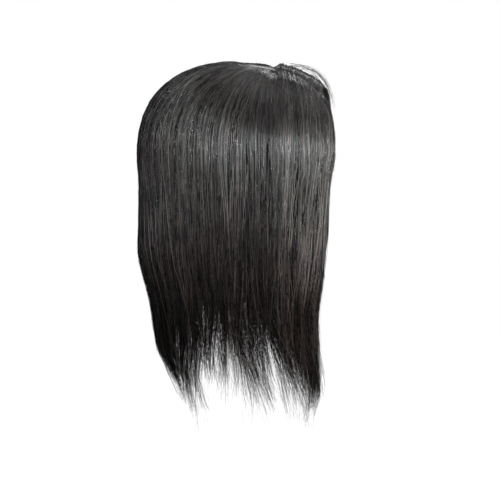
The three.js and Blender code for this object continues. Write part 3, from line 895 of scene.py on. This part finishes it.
def crest_strays():
    """Thin strands that arch off the crest in front and come down at the hairline."""
    rng = np.random.default_rng(CREST_SEED)
    first_x, first_y = draw_columns(rng, CREST_ROOT, CREST_STRAYS)
    height = top_height(1, first_x, first_y) - 1.0
    first = np.stack([first_x, first_y, height], axis=-1)
    aside, last_y, last_z = draw_columns(rng, CREST_END, CREST_STRAYS)
    last = np.stack([first_x + aside, last_y, last_z], axis=-1)
    bend_y, rise = draw_columns(rng, CREST_BEND, CREST_STRAYS)
    middle = np.stack([(first_x + last[:, 0]) / 2, bend_y, height + rise], axis=-1)
    cell = rng.integers(10, SHADE_CELLS, CREST_STRAYS)
    return curve_strands(rng, first, middle, last, STRAY_RADIUS_SHARE, cell)


# Materials
def new_material(name):
    """An empty material with one shader; the material and its shader."""
    material = bpy.data.materials.new(name)
    material.use_nodes = True
    nodes = material.node_tree.nodes
    nodes.clear()
    shader = nodes.new("ShaderNodeBsdfPrincipled")
    output = nodes.new("ShaderNodeOutputMaterial")
    material.node_tree.links.new(shader.outputs["BSDF"], output.inputs["Surface"])
    return material, shader


def add_node(material, kind, inputs, output, **settings):
    """A node whose inputs are given as sockets or values; its named output socket."""
    node = material.node_tree.nodes.new(kind)
    for name, value in settings.items():
        setattr(node, name, value)
    for key, value in inputs.items():
        if isinstance(value, bpy.types.NodeSocket):
            material.node_tree.links.new(value, node.inputs[key])
        else:
            node.inputs[key].default_value = value
    return node.outputs[output]


def calculate(material, operation, first, second=0.0):
    return add_node(material, "ShaderNodeMath", {0: first, 1: second}, "Value",
                    operation=operation)


def add_ramp(material, value, stops, interpolation="LINEAR"):
    """A colour ramp over a value, with its stops as places and colours."""
    colour = add_node(material, "ShaderNodeValToRGB", {"Fac": value}, "Color")
    ramp = colour.node.color_ramp
    ramp.interpolation = interpolation
    while len(ramp.elements) > 1:
        ramp.elements.remove(ramp.elements[-1])
    for i, (place, shade) in enumerate(stops):
        element = ramp.elements[0] if i == 0 else ramp.elements.new(place)
        element.position = place
        element.color = (*shade, 1.0)
    return colour


def add_bump(material, shader, height, strength, distance):
    inputs = {"Height": height, "Strength": strength, "Distance": distance}
    normal = add_node(material, "ShaderNodeBump", inputs, "Normal")
    material.node_tree.links.new(normal, shader.inputs["Normal"])


def hair_material():
    """Near-black and brown strands with light grey ones, by each strand's place in the map."""
    material, shader = new_material("grey_flecked_hair")
    links = material.node_tree.links
    place = add_node(material, "ShaderNodeUVMap", {}, "UV", uv_map="OFBake")
    across = add_node(material, "ShaderNodeSeparateXYZ", {"Vector": place}, "X")
    along = across.node.outputs["Y"]
    # The first cells are painted shade for the under locks; the others are the strands' own colours
    shade = add_ramp(material, across, [
        (0.0, (0.001, 0.0008, 0.0008)),
        (0.3, (0.0016, 0.0012, 0.0012)),
        (0.55, (0.0035, 0.0024, 0.0023)),
        (0.73, (0.009, 0.0058, 0.0054)),
        (0.76, (0.05, 0.042, 0.039)),
        (0.88, (0.12, 0.108, 0.101)),
        (1.0, (0.24, 0.225, 0.21)),
    ])
    browner_tips = add_ramp(material, along, [
        (0.0, (3.0, 2.4, 2.3)),
        (0.35, (2.4, 2.0, 1.95)),
        (0.7, (1.0, 1.0, 1.0)),
        (1.0, (0.9, 0.9, 0.92)),
    ])
    stretched = add_node(material, "ShaderNodeMapping",
                         {"Vector": place, "Scale": (300.0, 14.0, 1.0)}, "Vector")
    streaks = add_node(material, "ShaderNodeTexNoise",
                       {"Vector": stretched, "Scale": 1.0, "Detail": 2.0}, "Fac")
    vary = add_node(material, "ShaderNodeMapRange", {
        "Value": streaks, "From Min": 0.3, "From Max": 0.7, "To Min": 0.75, "To Max": 1.3,
    }, "Result")
    tinted = add_node(material, "ShaderNodeVectorMath", {0: shade, 1: browner_tips}, "Vector",
                      operation="MULTIPLY")
    varied = add_node(material, "ShaderNodeVectorMath", {0: tinted, "Scale": vary}, "Vector",
                      operation="SCALE")
    links.new(varied, shader.inputs["Base Color"])

    # Every fourth cell of the map has the same roughness, and the dark under locks are duller
    quarter = calculate(material, "FRACT", calculate(material, "MULTIPLY", across, SHADE_CELLS / 4))
    roughness = add_ramp(material, quarter, [
        (0.0, (0.22,) * 3),
        (0.25, (0.3,) * 3),
        (0.5, (0.24,) * 3),
        (0.75, (0.27,) * 3),
    ], "CONSTANT")
    under = calculate(material, "LESS_THAN", across, PAINTED_SHADE_CELLS / SHADE_CELLS)
    dull = calculate(material, "MULTIPLY", under, 0.4)
    links.new(calculate(material, "MAXIMUM", dull, roughness), shader.inputs["Roughness"])
    add_bump(material, shader, streaks, 0.08, 0.0001)
    shader.inputs["Specular IOR Level"].default_value = 1.0
    shader.inputs["IOR"].default_value = 1.6
    return material


def base_material():
    """Thin skin-coloured lace with the small knots of the hair in it."""
    material, shader = new_material("skin_coloured_lace")
    place = add_node(material, "ShaderNodeTexCoord", {}, "Object")
    mesh_holes = add_node(material, "ShaderNodeTexVoronoi", {"Vector": place, "Scale": 900.0},
                          "Distance", feature="DISTANCE_TO_EDGE")
    knots = add_node(material, "ShaderNodeTexVoronoi", {"Vector": place, "Scale": 550.0},
                     "Distance")
    around_knots = add_node(material, "ShaderNodeMapRange",
                            {"Value": knots, "From Min": 0.1, "From Max": 0.3}, "Result")
    mottle = add_node(material, "ShaderNodeTexNoise", {"Vector": place, "Scale": 60.0}, "Fac")
    skin = add_ramp(material, mottle, [(0.3, (0.5, 0.3, 0.22)), (0.7, (0.62, 0.42, 0.32))])
    mixed = add_node(material, "ShaderNodeMix", {}, "Result", data_type="RGBA")
    mix = mixed.node
    mix.inputs["A"].default_value = (0.1, 0.06, 0.05, 1.0)
    links = material.node_tree.links
    links.new(around_knots, mix.inputs["Factor"])
    links.new(skin, mix.inputs["B"])
    links.new(mix.outputs["Result"], shader.inputs["Base Color"])
    add_bump(material, shader, mesh_holes, 0.4, 0.0004)
    shader.inputs["Roughness"].default_value = 0.7
    return material


def stage_material():
    """A pale floor that shows as white and throws little light on the hair."""
    material, shader = new_material("pale_floor")
    place = add_node(material, "ShaderNodeTexCoord", {}, "Object")
    mottle = add_node(material, "ShaderNodeTexNoise", {"Vector": place, "Scale": 3.0}, "Fac")
    pale = add_ramp(material, mottle, [(0.3, (0.1, 0.1, 0.1)), (0.7, (0.12, 0.12, 0.12))])
    links = material.node_tree.links
    links.new(pale, shader.inputs["Base Color"])
    shader.inputs["Roughness"].default_value = 0.9
    shader.inputs["Specular IOR Level"].default_value = 0.1
    shader.inputs["Emission Color"].default_value = (1.0, 1.0, 1.0, 1.0)
    seen = add_node(material, "ShaderNodeLightPath", {}, "Is Camera Ray")
    glow = calculate(material, "MULTIPLY", seen, FLOOR_GLOW)
    links.new(glow, shader.inputs["Emission Strength"])
    return material


# Stage
def add_floor():
    bpy.ops.mesh.primitive_circle_add(vertices=96, radius=FLOOR_RADIUS, fill_type="NGON")
    floor = bpy.context.object
    floor.name = "pale_floor"
    floor.data.transform(Matrix.Translation((0.0, 0.0, FLOOR_LEVEL)))
    floor.data.materials.append(stage_material())


def aim(thing, target):
    direction = Vector(target) - thing.location
    thing.rotation_euler = direction.to_track_quat("-Z", "Y").to_euler()


def add_area_light(name, place, target, width, height, power, spread, roll):
    """A soft light, or with a small spread a beam whose lower edge the roll tilts."""
    data = bpy.data.lights.new(name, "AREA")
    data.spread = math.radians(spread)
    data.shape = "RECTANGLE"
    data.size = width
    data.size_y = height
    data.energy = power
    light = bpy.data.objects.new(name, data)
    bpy.context.scene.collection.objects.link(light)
    light.location = place
    aim(light, target)
    light.rotation_euler.rotate_axis("Z", math.radians(roll))


def add_background(world, strength):
    background = world.node_tree.nodes.new("ShaderNodeBackground")
    background.inputs["Color"].default_value = (1.0, 1.0, 1.0, 1.0)
    background.inputs["Strength"].default_value = strength
    return background.outputs["Background"]


def add_world():
    """A white surround for the camera, which lights the hair only weakly."""
    world = bpy.data.worlds.new("studio")
    bpy.context.scene.world = world
    world.use_nodes = True
    nodes, links = world.node_tree.nodes, world.node_tree.links
    nodes.clear()
    output = nodes.new("ShaderNodeOutputWorld")
    path = nodes.new("ShaderNodeLightPath")
    mix = nodes.new("ShaderNodeMixShader")
    links.new(path.outputs["Is Camera Ray"], mix.inputs["Fac"])
    links.new(add_background(world, WORLD_LIGHT), mix.inputs[1])
    links.new(add_background(world, 1.0), mix.inputs[2])
    links.new(mix.outputs["Shader"], output.inputs["Surface"])


def add_camera():
    """The camera on the side of the parting, level with the middle of the view."""
    data = bpy.data.cameras.new("camera")
    data.sensor_width = SENSOR_WIDTH
    data.lens = SENSOR_WIDTH * CAMERA_DISTANCE / VIEW_WIDTH
    data.clip_end = 100.0
    camera = bpy.data.objects.new("camera", data)
    bpy.context.scene.collection.objects.link(camera)
    camera.location = (-CAMERA_DISTANCE, *VIEW_MIDDLE)
    aim(camera, (0.0, *VIEW_MIDDLE))
    bpy.context.scene.camera = camera


bpy.ops.object.select_all(action="DESELECT")
bpy.context.view_layer.objects.active = None

hair = hair_material()
for section_number, hair_section in enumerate(SECTIONS):
    hair_piece(hair_section, section_number, hair)
stray_strands(hair)

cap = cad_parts["base_cap"]
cap.data.materials.clear()
cap.data.materials.append(base_material())

bpy.context.scene.view_settings.view_transform = "Standard"
add_floor()
add_world()
add_camera()
for light_row in LIGHTS:
    add_area_light(*light_row)
